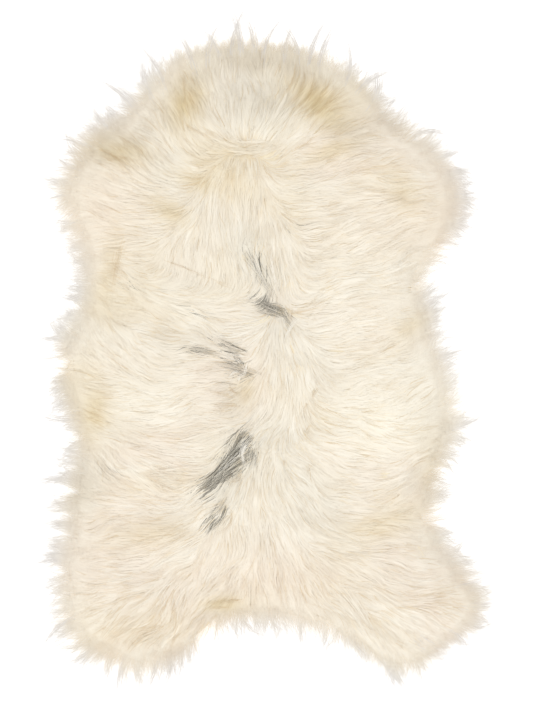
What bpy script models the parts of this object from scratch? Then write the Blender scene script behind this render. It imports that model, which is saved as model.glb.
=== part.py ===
"""Sheepskin rug: one tanned hide with its long wool left on, lying flat with the wool up.

Metres, +Z up and +Y towards the neck end. The rug stands on z = 0, with the origin under
the middle of its box. It is one body, as the skin is: a thin flat hide underneath, the
dense wool that grows from it as a lumpy slab, and pointed locks of wool all round the rim.
"""

import math
import random
from collections import namedtuple

import bmesh
import bpy
import numpy as np
from mathutils import Vector, geometry

HIDE_THICKNESS = 0.0025

# The cut edge of the hide, counter-clockwise from the neck as seen from above. Reach is how
# far the tips of the wool lie past that edge.
EdgePoint = namedtuple("EdgePoint", "place x y reach")
EDGE = [EdgePoint(*row) for row in (
    ("neck middle", -0.040, 0.480, 0.062),
    ("neck, left of middle", -0.110, 0.463, 0.056),
    ("neck left", -0.167, 0.420, 0.058),
    ("neck meets left shoulder", -0.215, 0.363, 0.060),
    ("left shoulder top", -0.268, 0.315, 0.070),
    ("left foreleg", -0.295, 0.262, 0.066),
    ("left armpit", -0.270, 0.190, 0.056),
    ("left waist", -0.262, 0.110, 0.060),
    ("above left belly", -0.268, 0.070, 0.058),
    ("left belly top", -0.298, 0.005, 0.068),
    ("left belly", -0.290, -0.070, 0.062),
    ("below left belly", -0.272, -0.142, 0.058),
    ("left hip", -0.284, -0.223, 0.068),
    ("left thigh", -0.290, -0.297, 0.065),
    ("left hind leg, outer side", -0.298, -0.378, 0.068),
    ("left hind leg, outer corner", -0.275, -0.438, 0.070),
    ("left hind leg end", -0.207, -0.470, 0.064),
    ("left hind leg, inner side", -0.134, -0.448, 0.052),
    ("left of tail", -0.080, -0.405, 0.048),
    ("tail notch", -0.003, -0.390, 0.060),
    ("right of tail", 0.086, -0.408, 0.062),
    ("right hind leg, inner side", 0.160, -0.446, 0.052),
    ("right hind leg, inner corner", 0.216, -0.476, 0.072),
    ("right hind leg end", 0.280, -0.442, 0.044),
    ("right hind leg, outer corner", 0.307, -0.402, 0.066),
    ("right thigh", 0.262, -0.340, 0.058),
    ("above right thigh", 0.233, -0.280, 0.060),
    ("right hip", 0.225, -0.215, 0.062),
    ("below right belly", 0.257, -0.122, 0.072),
    ("right belly", 0.252, -0.052, 0.062),
    ("above right belly", 0.230, 0.038, 0.058),
    ("right waist", 0.213, 0.105, 0.062),
    ("right armpit", 0.221, 0.150, 0.060),
    ("right foreleg, lower side", 0.257, 0.208, 0.061),
    ("right foreleg", 0.270, 0.264, 0.060),
    ("right shoulder top", 0.228, 0.320, 0.066),
    ("neck meets right shoulder", 0.167, 0.364, 0.055),
    ("neck right", 0.127, 0.420, 0.056),
    ("neck, right of middle", 0.054, 0.466, 0.050),
)]
CURVE_STEPS = 24  # samples of the smooth edge from one row of EDGE to the next
TURN_EASE = 0.048  # length of edge over which the outward directions are evened out

# Below, the wool comes down to the floor just past the edge of the hide, which shows there
# as the wall of a shallow groove.
GROOVE_WIDTH = 0.008

# The dense wool ends in a low wall, and the locks grow out of that wall.
RIM_SHARE = 0.36  # of the reach, to the wall
RIM_HEIGHT = 0.015
RIM_HEIGHT_SPREAD = 0.003
LOCKS = 150
LOCK_SHARE = 0.86  # of the rim that locks take; the rest is the notches between them
LOCK_WIDTHS = (0.75, 1.25)  # least and most, as shares of the mean
LOCK_LENGTHS = (0.84, 1.14)  # least and most, as shares of the stated reach
LOCK_BENDS = (-0.10, 0.10)  # sideways bend, as a share of the length
TAILWARD_LEAN = 0.22  # how much the locks of the flanks are combed towards the tail
LOCK_TIP_HEIGHT = 0.0012

# Cross-sections of a lock, as shares of its length, root width and root height.
LockSection = namedtuple("LockSection", "along width height")
LOCK_SECTIONS = (
    LockSection(along=0.30, width=0.88, height=0.84),
    LockSection(along=0.60, width=0.62, height=0.58),
    LockSection(along=0.84, width=0.31, height=0.30),
)

# The top of the wool.
CROWN = 0.042
CROWN_WIDTH = 0.095  # distance from the rim over which the wool rises to its crown
GRID_PITCH = 0.0160
LEAST_WOOL = 0.010

# Mounds and furrows of the combed wool. Along and across are half-widths, and turn is the
# angle in degrees of the long side from +X.
Form = namedtuple("Form", "place x y along across turn rise")
FORMS = [Form(*row) for row in (
    ("mane", -0.036, 0.400, 0.100, 0.055, 0, 0.013),
    ("furrow behind mane", -0.040, 0.468, 0.110, 0.020, 0, -0.009),
    ("furrow left of mane", -0.136, 0.388, 0.045, 0.020, 80, -0.014),
    ("furrow right of mane", 0.092, 0.398, 0.052, 0.020, -48, -0.014),
    ("parting below mane", -0.040, 0.325, 0.090, 0.019, -4, -0.011),
    ("left shoulder", -0.235, 0.275, 0.060, 0.045, 30, 0.009),
    ("right shoulder", 0.205, 0.262, 0.070, 0.055, -20, 0.009),
    ("left of chest", -0.125, 0.215, 0.060, 0.050, 60, 0.008),
    ("right of chest", 0.100, 0.235, 0.080, 0.050, 10, 0.009),
    ("left waist crease", -0.252, 0.112, 0.045, 0.019, 78, -0.012),
    ("left belly top", -0.225, 0.010, 0.060, 0.050, 90, 0.009),
    ("left belly crease", -0.262, -0.110, 0.045, 0.019, 62, -0.010),
    ("left flank", -0.175, -0.150, 0.080, 0.055, 10, 0.007),
    ("hollow by upper dark patch", 0.013, 0.068, 0.036, 0.021, -35, -0.011),
    ("hollow by middle dark patch", -0.055, -0.045, 0.045, 0.020, 100, -0.008),
    ("hollow by lower dark patch", -0.045, -0.170, 0.048, 0.021, 58, -0.011),
    ("spine", 0.055, -0.060, 0.120, 0.035, 88, 0.008),
    ("right belly", 0.190, -0.085, 0.085, 0.050, 80, 0.009),
    ("right waist", 0.150, 0.080, 0.060, 0.040, 30, 0.006),
    ("rump", 0.050, -0.300, 0.085, 0.065, 90, 0.010),
    ("left thigh", -0.205, -0.290, 0.070, 0.040, 5, 0.007),
    ("left hind leg", -0.180, -0.405, 0.060, 0.045, 70, 0.009),
    ("right hind leg", 0.245, -0.390, 0.060, 0.035, -30, 0.008),
    ("crease left of tail", -0.052, -0.390, 0.036, 0.019, 60, -0.009),
    ("crease in right hind leg", 0.190, -0.425, 0.040, 0.018, -55, -0.009),
)]

# Clumps of wool all over the top, each lying outwards from the line of the spine.
CLUMPS = 170
CLUMP_LENGTH = 0.048
CLUMP_WIDTH = 0.018
CLUMP_RISE = 0.0052
CLUMP_SIZES = (0.8, 1.3)  # least and most, as shares of that length and width
CLUMP_RISES = (0.5, 1.2)
CLUMP_HOLLOW = -0.8  # every third clump is a hollow, this much as deep
CLUMP_TURN = 25  # degrees either way
SPINE_X = 0.010
SPINE_ENDS = (-0.260, 0.330)

WOOL_COLOUR = (0.86, 0.80, 0.66, 1)
HIDE_COLOUR = (0.78, 0.70, 0.58, 1)
WOOL, HIDE = 0, 1  # material slots of the body
SEED = 7


def clear_scene():
    for obj in list(bpy.data.objects):
        bpy.data.objects.remove(obj)


def material(name, colour, roughness):
    made = bpy.data.materials.new(name)
    made.use_nodes = True
    shader = made.node_tree.nodes["Principled BSDF"]
    shader.inputs["Base Color"].default_value = colour
    shader.inputs["Roughness"].default_value = roughness
    shader.inputs["Metallic"].default_value = 0.0
    return made


# --- the rim, as rows of x, y and reach ---

def smooth_edge():
    """A smooth closed curve through the rows of EDGE, with its reach."""
    rows = np.array([(point.x, point.y, point.reach) for point in EDGE])
    before, after, later = (np.roll(rows, shift, axis=0) for shift in (1, -1, -2))
    share = np.arange(CURVE_STEPS)[:, None, None] / CURVE_STEPS
    curve = 0.5 * (
        2 * rows
        + (after - before) * share
        + (2 * before - 5 * rows + 4 * after - later) * share**2
        + (3 * rows - before - 3 * after + later) * share**3
    )
    return curve.transpose(1, 0, 2).reshape(-1, rows.shape[1])


def read_between(rows, places):
    """Values of a closed list of rows at places counted in rows, which may be fractions."""
    looped = np.vstack([rows, rows[:1]])
    numbers = np.arange(len(looped))
    return np.stack([np.interp(places, numbers, column) for column in looped.T], axis=1)


def evenly_spaced(curve):
    """The same closed curve with its points a constant distance apart, and that distance."""
    steps = np.linalg.norm(np.roll(curve, -1, axis=0)[:, :2] - curve[:, :2], axis=1)
    along = np.concatenate([[0], np.cumsum(steps)])
    wanted = np.linspace(0, along[-1], len(curve), endpoint=False)
    places = np.interp(wanted, along, np.arange(len(along)))
    return read_between(curve, places), along[-1] / len(curve)


def unit(vectors):
    return vectors / np.linalg.norm(vectors, axis=-1, keepdims=True)


def outward_directions(points, spacing):
    """Directions out of a closed counter-clockwise outline, evened out over TURN_EASE."""
    tangent = unit(np.roll(points, -1, axis=0) - np.roll(points, 1, axis=0))
    outward = np.stack([tangent[:, 1], -tangent[:, 0]], axis=1)
    most = max(1, round(TURN_EASE / spacing))
    evened = sum(
        (1 + most - abs(shift)) * np.roll(outward, shift, axis=0)
        for shift in range(-most, most + 1)
    )
    return unit(evened)


def lock_sides(count, chance):
    """Where each lock's two sides stand along the rim, counted in rows of it."""
    widths = np.array([chance.uniform(*LOCK_WIDTHS) for _ in range(LOCKS)])
    widths *= count / widths.sum()
    starts = np.cumsum(widths) - widths
    return np.stack([starts, starts + LOCK_SHARE * widths], axis=1).ravel()


def rim_columns(chance):
    """Edge points, outward directions and reach at both sides of each lock in turn."""
    edge, spacing = evenly_spaced(smooth_edge())
    outward = outward_directions(edge[:, :2], spacing)
    columns = read_between(np.hstack([edge, outward]), lock_sides(len(edge), chance))
    return columns[:, :2], unit(columns[:, 3:]), columns[:, 2]


# --- measures of points against a closed outline ---

def distance_to(points, outline):
    start = outline
    side = np.roll(outline, -1, axis=0) - start
    offset = points[:, None] - start[None]
    share = (offset * side).sum(2) / (side * side).sum(1)
    nearest = offset - np.clip(share, 0, 1)[:, :, None] * side
    return np.linalg.norm(nearest, axis=2).min(axis=1)


def inside(points, outline):
    start, end = outline, np.roll(outline, -1, axis=0)
    x, y = points[:, None, 0], points[:, None, 1]
    crosses = (start[:, 1] > y) != (end[:, 1] > y)
    rise = end[:, 1] - start[:, 1]
    slope = (end[:, 0] - start[:, 0]) / np.where(rise == 0, 1, rise)
    return ((x < start[:, 0] + slope * (y - start[:, 1])) & crosses).sum(axis=1) % 2 == 1


def grid_inside(outline):
    """Points of a triangular grid that lie inside the outline and clear of it."""
    low, high = outline.min(axis=0), outline.max(axis=0)
    rows = []
    for number, y in enumerate(np.arange(low[1], high[1], GRID_PITCH * math.sqrt(3) / 2)):
        x = np.arange(low[0] + number % 2 * GRID_PITCH / 2, high[0], GRID_PITCH)
        rows.append(np.stack([x, np.full(len(x), y)], axis=1))
    grid = np.concatenate(rows)
    grid = grid[inside(grid, outline)]
    return grid[distance_to(grid, outline) > 0.6 * GRID_PITCH]


# --- the top of the wool ---

def form_rise(points, form):
    """How far one long soft mound lifts each point, or a furrow sinks it."""
    turn = math.radians(form.turn)
    offset = points - (form.x, form.y)
    far = offset @ (math.cos(turn), math.sin(turn)) / form.along
    wide = offset @ (-math.sin(turn), math.cos(turn)) / form.across
    return form.rise * np.exp(-(far**2 + wide**2))


def clump(number, outline, chance):
    """One clump of wool somewhere inside the outline."""
    low, high = outline.min(axis=0), outline.max(axis=0)
    place = np.array([(chance.uniform(low[0], high[0]), chance.uniform(low[1], high[1]))])
    while not inside(place, outline)[0]:
        place = np.array([(chance.uniform(low[0], high[0]), chance.uniform(low[1], high[1]))])
    x, y = place[0]
    spine_y = np.clip(y, *SPINE_ENDS)
    turn = math.degrees(math.atan2(y - spine_y, x - SPINE_X))
    turn += chance.uniform(-CLUMP_TURN, CLUMP_TURN)
    size = chance.uniform(*CLUMP_SIZES)
    rise = CLUMP_RISE * chance.uniform(*CLUMP_RISES)
    if number % 3 == 0:
        rise *= CLUMP_HOLLOW
    return Form("clump", x, y, CLUMP_LENGTH * size, CLUMP_WIDTH * size, turn, rise)


def wool_heights(points, outline, chance):
    share = np.clip(distance_to(points, outline) / CROWN_WIDTH, 0, 1)
    swell = 1 - (1 - share) ** 2
    forms = FORMS + [clump(number, outline, chance) for number in range(CLUMPS)]
    relief = sum(form_rise(points, form) for form in forms)
    height = RIM_HEIGHT + (CROWN - RIM_HEIGHT) * swell + relief * np.minimum(1, 3 * share)
    return np.maximum(height, HIDE_THICKNESS + LEAST_WOOL)


# --- the mesh ---

def ring(mesh, points, heights):
    heights = np.broadcast_to(heights, len(points))
    return [mesh.verts.new((x, y, z)) for (x, y), z in zip(points, heights)]


def bridge(mesh, first, second):
    """A band of quads between two closed rings of as many vertices."""
    for i, j in zip(range(len(first)), [*range(1, len(first)), 0]):
        mesh.faces.new((first[i], first[j], second[j], second[i]))


def fill(mesh, rim, inner, shown_as):
    """Triangles between the vertices of a ring, by way of the vertices inside it."""
    verts = rim + inner
    places = [Vector(vert.co[:2]) for vert in verts]
    sides = [(i, (i + 1) % len(rim)) for i in range(len(rim))]
    _, _, faces, sources, _, _ = geometry.delaunay_2d_cdt(places, sides, [], 1, 1e-7)
    for face in faces:
        made = mesh.faces.new([verts[sources[corner][0]] for corner in face])
        made.material_index = shown_as


def lock(mesh, root, direction, length, bend):
    """A four-sided lock that lies on the floor, out of a quad of the rim wall.

    The quad's corners are in order low left, low right, high right and high left.
    """
    low_left, low_right, high_right, _ = (np.array(vert.co) for vert in root)
    middle = (low_left + low_right)[:2] / 2
    half_width = (low_right - low_left)[:2] / 2
    side = np.array([-direction[1], direction[0]])
    last = root
    for section in LOCK_SECTIONS:
        centre = middle + length * (direction * section.along + side * bend * section.along**2)
        left, right = centre - half_width * section.width, centre + half_width * section.width
        top = high_right[2] * section.height
        corners = ((*left, 0), (*right, 0), (*right, top), (*left, top))
        quad = [mesh.verts.new(corner) for corner in corners]
        bridge(mesh, last, quad)
        last = quad
    centre = middle + length * (direction + side * bend)
    tip = mesh.verts.new((*centre, LOCK_TIP_HEIGHT))
    for i in range(4):
        mesh.faces.new((last[i], last[(i + 1) % 4], tip))


def rim_with_locks(mesh, low, high, outward, reach, chance):
    """The wall at the end of the dense wool, with a lock out of every other quad of it."""
    for left in range(0, 2 * LOCKS, 2):
        right, after = left + 1, (left + 2) % (2 * LOCKS)
        mesh.faces.new((low[right], low[after], high[after], high[right]))
        direction = unit(outward[left] + outward[right])
        lean = np.array([0, -TAILWARD_LEAN]) * abs(direction[0])
        share = chance.uniform(*LOCK_LENGTHS) - RIM_SHARE
        length = share * (reach[left] + reach[right]) / 2
        root = (low[left], low[right], high[right], high[left])
        lock(mesh, root, unit(direction + lean), length, chance.uniform(*LOCK_BENDS))


def sheepskin_mesh(chance):
    edge, outward, reach = rim_columns(chance)
    floor = edge + outward * GROOVE_WIDTH
    rim = edge + outward * (RIM_SHARE * reach)[:, None]
    spread = [chance.uniform(-RIM_HEIGHT_SPREAD, RIM_HEIGHT_SPREAD) for _ in range(LOCKS)]
    inner = grid_inside(rim)

    mesh = bmesh.new()
    hide_low, hide_high = ring(mesh, edge, 0), ring(mesh, edge, HIDE_THICKNESS)
    floor_ring, low = ring(mesh, floor, 0), ring(mesh, rim, 0)
    high = ring(mesh, rim, RIM_HEIGHT + np.repeat(spread, 2))
    top = ring(mesh, inner, wool_heights(inner, rim, chance))
    fill(mesh, hide_low, [], HIDE)
    bridge(mesh, hide_low, hide_high)
    bridge(mesh, hide_high, floor_ring)
    bridge(mesh, floor_ring, low)
    rim_with_locks(mesh, low, high, outward, reach, chance)
    fill(mesh, high, top, WOOL)
    bmesh.ops.recalc_face_normals(mesh, faces=mesh.faces)
    return mesh


def sheepskin():
    mesh = sheepskin_mesh(random.Random(SEED))
    corners = np.array([vert.co for vert in mesh.verts])
    middle = (corners.min(axis=0) + corners.max(axis=0)) / 2
    bmesh.ops.translate(mesh, verts=mesh.verts, vec=(-middle[0], -middle[1], 0))
    data = bpy.data.meshes.new("sheepskin")
    mesh.to_mesh(data)
    mesh.free()
    data.materials.append(material("wool", WOOL_COLOUR, 0.9))
    data.materials.append(material("hide_suede", HIDE_COLOUR, 0.85))
    bpy.context.scene.collection.objects.link(bpy.data.objects.new("sheepskin", data))


clear_scene()
sheepskin()
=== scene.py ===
"""Sheepskin rug, its looks: long combed wool in locks over an undercoat, on a suede hide.

Metres, +Z up and +Y towards the neck end, as in the frame. The wool is grown here: each
strand starts in the hide, follows the way the wool is combed and lies on the surface of
the solid that the frame holds, whose outline, height and reach are read from its mesh.
"""

import math
from collections import namedtuple

import bpy
import numpy as np
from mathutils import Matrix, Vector, geometry
from mathutils.bvhtree import BVHTree


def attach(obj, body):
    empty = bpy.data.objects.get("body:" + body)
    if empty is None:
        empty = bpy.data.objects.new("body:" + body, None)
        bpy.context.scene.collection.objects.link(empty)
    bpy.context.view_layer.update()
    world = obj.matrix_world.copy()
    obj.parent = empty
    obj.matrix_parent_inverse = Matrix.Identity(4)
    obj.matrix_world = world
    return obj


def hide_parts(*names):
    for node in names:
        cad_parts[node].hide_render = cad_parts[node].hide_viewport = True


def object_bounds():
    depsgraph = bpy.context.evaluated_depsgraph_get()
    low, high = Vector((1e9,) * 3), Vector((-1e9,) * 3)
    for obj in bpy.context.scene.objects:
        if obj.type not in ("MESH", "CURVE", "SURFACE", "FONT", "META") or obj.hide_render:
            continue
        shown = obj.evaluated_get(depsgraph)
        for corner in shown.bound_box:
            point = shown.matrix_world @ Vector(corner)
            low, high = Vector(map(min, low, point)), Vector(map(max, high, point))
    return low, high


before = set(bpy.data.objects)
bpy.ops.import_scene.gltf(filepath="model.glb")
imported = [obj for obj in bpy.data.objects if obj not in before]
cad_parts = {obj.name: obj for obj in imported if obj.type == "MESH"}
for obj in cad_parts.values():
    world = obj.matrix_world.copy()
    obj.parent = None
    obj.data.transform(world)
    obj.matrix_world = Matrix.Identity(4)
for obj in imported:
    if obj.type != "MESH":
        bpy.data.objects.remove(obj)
CAD_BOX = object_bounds()
NODE = "sheepskin"

# --- what the photograph gives, in its own pixels ---

PIXEL = 0.00163  # metres
PHOTO_SIZE = (533, 711)
PHOTO_MIDDLE = (267, 353)  # the pixel over the frame's origin

# Which way the wool is combed: degrees from +X, counter-clockwise, towards its tips.
COMBED = {
    "fringe over the neck": (
        (150, 75, 120), (190, 50, 107), (240, 40, 96), (300, 45, 86), (350, 62, 60), (372, 85, 52)),
    "mane": (
        (200, 125, 114), (222, 138, 108), (245, 112, 92), (270, 130, 70), (288, 112, 44),
        (306, 104, 58), (318, 90, 84), (308, 70, 108), (286, 80, 96), (245, 80, 92), (200, 88, 108)),
    "beside the mane": (
        (160, 105, 128), (186, 118, 122), (352, 108, 28), (345, 126, 6), (378, 122, 8)),
    "left shoulder": (
        (118, 122, 142), (86, 150, 152), (62, 176, 172), (60, 212, 190), (142, 160, 148),
        (175, 165, 152), (105, 185, 165), (140, 205, 171), (170, 200, 172), (190, 152, 150)),
    "right shoulder": (
        (300, 150, 26), (330, 166, 14), (380, 160, 6), (380, 188, 5), (432, 180, 8), (466, 205, 14),
        (402, 132, 2), (430, 124, 30), (448, 155, 8), (292, 200, 32), (340, 225, 25),
        (395, 212, 18), (440, 238, 15)),
    "bib": (
        (235, 170, 268), (250, 190, 269), (212, 200, 262), (188, 232, 260), (232, 240, 266),
        (205, 262, 262), (152, 250, 228), (146, 228, 200), (265, 215, 285), (255, 268, 276)),
    "left waist": (
        (85, 255, 184), (112, 243, 186), (112, 268, 189), (132, 282, 150), (122, 310, 128),
        (150, 345, 143), (165, 310, 157), (200, 322, 160), (232, 318, 158), (62, 340, 176),
        (92, 346, 165)),
    "right waist": (
        (330, 265, 30), (380, 268, 22), (402, 292, 5), (425, 286, 55), (438, 305, 30),
        (405, 322, 28), (360, 316, 24), (322, 318, 32)),
    "whorl": (
        (268, 283, 292), (290, 280, 272), (250, 301, 162), (303, 300, 48), (288, 332, 284),
        (300, 370, 281), (312, 392, 292), (262, 350, 260), (255, 388, 252)),
    "left belly": (
        (96, 380, 180), (122, 395, 176), (150, 384, 166), (200, 355, 152), (235, 368, 150),
        (214, 390, 166), (244, 402, 196), (132, 430, 177), (172, 425, 176), (212, 424, 186),
        (64, 446, 181), (100, 450, 171), (58, 400, 180)),
    "left flank": (
        (150, 468, 154), (190, 464, 172), (100, 490, 170), (60, 500, 179), (150, 512, 172),
        (186, 515, 205), (242, 446, 232), (224, 472, 222), (200, 488, 209), (216, 512, 234),
        (180, 548, 196), (120, 550, 180), (60, 550, 181), (46, 580, 186)),
    "right belly": (
        (340, 350, 10), (380, 356, 8), (412, 350, 34), (446, 350, 2), (350, 390, 4),
        (400, 388, 28), (450, 395, 0), (345, 436, -20), (385, 447, 2), (412, 436, 22),
        (445, 428, 4), (482, 424, 16)),
    "right flank": (
        (400, 465, 10), (440, 455, 28), (320, 480, -36), (360, 500, -8), (400, 505, 12),
        (435, 500, 22), (300, 500, -64), (330, 540, -34), (380, 532, 14), (430, 540, 6)),
    "rump": (
        (250, 480, 261), (268, 505, 268), (248, 545, 256), (275, 545, 270), (300, 560, 302),
        (216, 565, 230), (240, 588, 250), (200, 594, 234), (275, 600, 271), (310, 602, 304),
        (262, 622, 270), (226, 624, 256), (295, 622, 286)),
    "left hind leg": (
        (155, 575, 206), (100, 590, 191), (58, 600, 192), (60, 628, 206), (122, 612, 236),
        (160, 606, 238), (86, 646, 228), (120, 660, 250), (156, 668, 263), (190, 646, 250)),
    "right hind leg": (
        (350, 565, -18), (400, 560, 11), (455, 560, 3), (346, 596, -32), (380, 602, -45),
        (420, 590, -2), (465, 590, -5), (486, 612, -12), (340, 640, -50), (375, 658, -52),
        (402, 682, -60), (420, 640, -42), (452, 632, -28)),
}
COMB_REACH = 26  # pixels over which one of these directions holds

# Grey-black strands among the ivory. Half-length, half-width and turn as of an ellipse.
Patch = namedtuple("Patch", "place x y along across turn strength")
PATCH_SOFTNESS = 1.4  # the more, the further a patch fades out past its ellipse


def patch_list(*rows):
    return [Patch(*row) for row in rows]


DARK_PATCHES = patch_list(
    ("streak above the whorl", 257, 268, 19, 11, -62, 0.28),
    ("whorl", 265, 304, 13, 6, -30, 0.58),
    ("foot of the whorl", 288, 319, 9, 4, -66, 0.32),
    ("upper wisps", 227, 344, 13, 4, -22, 0.34),
    ("left wisp", 197, 351, 14, 4, -8, 0.30),
    ("middle wisps", 234, 360, 13, 8, -34, 0.40),
    ("lower wisps", 236, 371, 12, 6, -20, 0.36),
    ("root of the long patch", 240, 447, 13, 10, 60, 0.66),
    ("middle of the long patch", 230, 463, 17, 10, 46, 0.64),
    ("tips of the long patch", 212, 483, 16, 9, 30, 0.78),
    ("ring beside it", 249, 457, 8, 8, 0, 0.60),
    ("last tuft", 213, 517, 13, 6, 55, 0.55),
    ("faint, left flank", 112, 472, 18, 4, -26, 0.20),
    ("faint, left rim", 88, 493, 17, 6, 0, 0.12),
    ("faint, left waist", 130, 284, 13, 7, -45, 0.12),
    ("faint, right shoulder", 296, 230, 15, 6, 20, 0.10),
    ("faint, left of spine", 194, 311, 22, 6, -30, 0.12),
)

# Where the fringe is longer or shorter than the solid's locks, as a share of their reach.
LONGER = patch_list(
    ("tail", 267, 640, 24, 20, 0, 0.22),
    ("right of the tail", 334, 655, 20, 20, -40, 0.30),
    ("left flank", 50, 548, 16, 30, 0, 0.18),
    ("left hip", 58, 472, 16, 24, 0, 0.15),
    ("right flank", 452, 462, 18, 30, 0, 0.22),
    ("right shoulder, lower", 452, 243, 18, 26, 0, 0.14),
)
SHORTER = patch_list(
    ("neck", 250, 36, 78, 26, 0, 0.50),
    ("below the right hind leg", 440, 655, 26, 18, 30, 0.26),
    ("outer right hind leg", 474, 632, 22, 18, 60, 0.12),
)

# Where dark yellow lines part the locks: painted shade in the creases, laid as hairs of that colour.
CREASED = patch_list(
    ("parting", 245, 147, 46, 10, -6, 0.4),
    ("right of the mane", 318, 96, 40, 14, -50, 1.0),
    ("left of the mane", 188, 88, 34, 9, 88, 0.7),
    ("left shoulder", 116, 154, 30, 14, -10, 0.8),
    ("top of the bib, left", 205, 186, 22, 10, -15, 0.6),
    ("swirl, left shoulder", 160, 214, 26, 14, -40, 0.35),
    ("left waist", 113, 270, 30, 10, 70, 0.8),
    ("left belly", 98, 414, 26, 12, 76, 0.8),
    ("left hip", 152, 515, 32, 26, 20, 0.5),
    ("left hind leg", 138, 625, 66, 36, 0, 1.0),
    ("tail", 222, 603, 16, 7, 0, 0.9),
    ("right hind leg", 352, 635, 66, 26, -48, 1.0),
    ("outer right hind leg", 440, 606, 44, 26, 0, 0.8),
    ("right rim", 430, 472, 16, 44, 0, 0.6),
    ("right waist", 418, 322, 14, 18, 0, 0.6),
    ("right shoulder", 396, 190, 38, 30, 0, 0.4),
    ("right belly", 362, 425, 58, 22, 0, 0.35),
    ("beside the spine", 312, 410, 9, 34, 0, 0.5),
)

# Where the wool is of another tint: butter in the partings and creases and beside the mane,
# partly the wool's own yellow and partly painted shade, beige as painted shade behind and beside
# the mane and where the fleece sinks, milk where it is whitest, peach towards the rump and cool
# along the spine.
TINTED_PATCHES = {
    "peach": patch_list(
        ("rump", 270, 575, 70, 34, 0, 0.9),
        ("left thigh", 110, 605, 60, 34, 10, 0.15),
        ("right thigh", 400, 605, 60, 34, -20, 0.12),
        ("left shoulder", 105, 205, 44, 34, 80, 0.9),
        ("right shoulder", 405, 215, 50, 30, 0, 0.5),
        ("right hip", 390, 520, 44, 18, 14, 0.4),
        ("left hip", 120, 530, 44, 22, 10, 0.4),
    ),
    "cool": patch_list(
        ("above the whorl", 252, 260, 30, 16, -60, 0.8),
        ("round the whorl", 285, 330, 44, 26, -40, 0.6),
        ("round the wisps", 205, 340, 40, 18, -10, 0.3),
        ("lower spine", 300, 480, 60, 30, -50, 0.5),
        ("round the long patch", 240, 455, 40, 22, 45, 0.8),
        ("mane", 250, 106, 50, 24, 0, 1.0),
        ("below the left of the mane", 168, 172, 26, 20, -20, 0.4),
    ),
    "milk": patch_list(
        ("right belly", 375, 425, 60, 36, 20, 1.0),
        ("over the parting", 255, 136, 50, 9, -4, 0.4),
        ("right waist", 350, 330, 50, 26, 20, 0.5),
        ("left belly", 150, 400, 44, 18, 0, 0.5),
        ("left waist", 175, 300, 40, 14, -20, 0.4),
    ),
    # The wool's own yellow in the partings and creases, and with it painted shade beside and behind
    # the mane.
    "butter_and_shade": patch_list(
        ("parting", 236, 154, 44, 9, -6, 0.30),
        ("behind the mane", 250, 62, 34, 12, 0, 0.22),
        ("under the parting", 222, 176, 30, 12, -30, 0.4),
        ("top of the bib, left", 204, 185, 20, 9, -15, 0.7),
        ("right end of the parting", 333, 152, 30, 8, 22, 0.6),
        ("left of the mane", 188, 102, 26, 16, 68, 1.1),
        ("right of the mane", 319, 102, 30, 15, -42, 1.4),
        ("left shoulder crease", 118, 152, 24, 11, -8, 0.9),
        ("below the left shoulder", 172, 214, 18, 9, -30, 0.6),
        ("right shoulder, inner rim", 402, 190, 22, 14, -60, 0.45),
        ("left waist crease", 109, 272, 30, 9, 76, 0.45),
        ("left belly crease", 95, 416, 24, 12, 80, 0.85),
        ("left hip", 150, 532, 32, 12, 5, 0.4),
        ("left flank", 156, 482, 34, 12, 4, 0.3),
        ("right hip", 385, 522, 34, 12, 16, 0.6),
        ("right waist", 412, 325, 16, 7, 35, 0.4),
        ("under the wisps", 246, 391, 9, 13, 0, 0.5),
        ("tail", 222, 603, 18, 7, 0, 0.8),
        ("left hind leg, between the locks", 140, 632, 60, 18, 4, 0.3),
        ("right rim", 431, 472, 12, 40, 0, 0.3),
    ),
    # Painted shade: a beige darkening behind and beside the mane and where the fleece sinks.
    "painted_shade": patch_list(
        ("behind the mane, left", 205, 78, 34, 12, 30, 0.7),
        ("behind the mane", 248, 62, 34, 13, 0, 1.2),
        ("behind the mane, right", 300, 72, 32, 13, -28, 1.0),
        ("right corner of the mane", 345, 118, 30, 12, -48, 0.6),
        ("left corner of the mane", 150, 128, 30, 12, 48, 0.6),
        ("left shoulder, rim", 108, 146, 26, 12, 42, 0.5),
        ("right shoulder, rim", 392, 124, 26, 10, -20, 0.5),
        ("under the wisps", 231, 402, 13, 18, 0, 0.4),
        ("left flank", 84, 490, 24, 14, 60, 0.8),
        ("mane", 250, 104, 44, 20, 0, 0.55),
        ("right belly, rim", 436, 430, 12, 34, 0, 0.3),
    ),
}

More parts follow.
